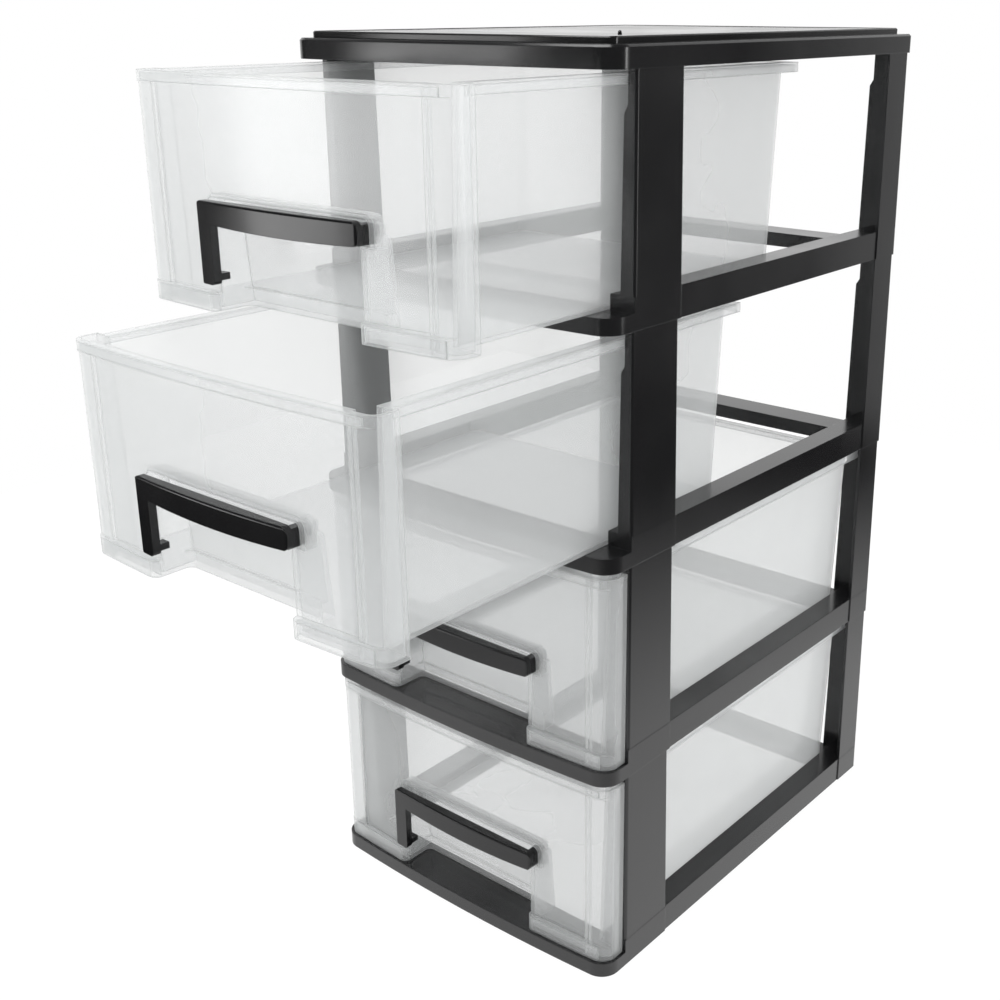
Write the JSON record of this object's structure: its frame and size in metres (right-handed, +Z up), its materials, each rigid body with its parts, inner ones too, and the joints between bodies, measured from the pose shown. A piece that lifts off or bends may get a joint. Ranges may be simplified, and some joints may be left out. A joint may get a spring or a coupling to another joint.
{
  "type": "plastic drawer tower",
  "caption": "Free-standing tower of stacked open plastic frames under a rimmed cover, each holding a clear slide-out drawer with a scooped finger pocket and a dark bar handle.",
  "frame": {"origin": "middle of the tower's footprint on the floor, midway across its width and midway between the front posts' outer line and the back", "axes": "+Z up, -Y towards the front where the drawers come out, +X towards the right seen from the front"},
  "size_m": [0.2648, 0.5513, 0.6149],
  "materials": {
    "frame_plastic": "satin black polypropylene",
    "cover_plastic": "smooth black polypropylene",
    "drawer_plastic": "milky clear polypropylene",
    "handle_plastic": "smooth black polypropylene"
  },
  "bodies": {
    "tower": {"tier_1_frame": "frame_plastic", "tier_2_frame": "frame_plastic", "tier_3_frame": "frame_plastic", "tier_4_frame": "frame_plastic", "top_cover": "cover_plastic"},
    "drawer_1": {"tier_1_drawer": "drawer_plastic", "tier_1_handle": "handle_plastic"},
    "drawer_2": {"tier_2_drawer": "drawer_plastic", "tier_2_handle": "handle_plastic"},
    "drawer_3": {"tier_3_drawer": "drawer_plastic", "tier_3_handle": "handle_plastic"},
    "drawer_4": {"tier_4_drawer": "drawer_plastic", "tier_4_handle": "handle_plastic"}
  },
  "joints": [
    {"name": "drawer_1_slide", "type": "slide", "parent": "tower", "child": "drawer_1", "axis": [0, -1, 0], "range_m": [0, 0.27]},
    {"name": "drawer_2_slide", "type": "slide", "parent": "tower", "child": "drawer_2", "axis": [0, -1, 0], "range_m": [0, 0.27]},
    {"name": "drawer_3_slide", "type": "slide", "parent": "tower", "child": "drawer_3", "axis": [0, -1, 0], "range_m": [-0.187, 0.083]},
    {"name": "drawer_4_slide", "type": "slide", "parent": "tower", "child": "drawer_4", "axis": [0, -1, 0], "range_m": [-0.128, 0.142]}
  ]
}
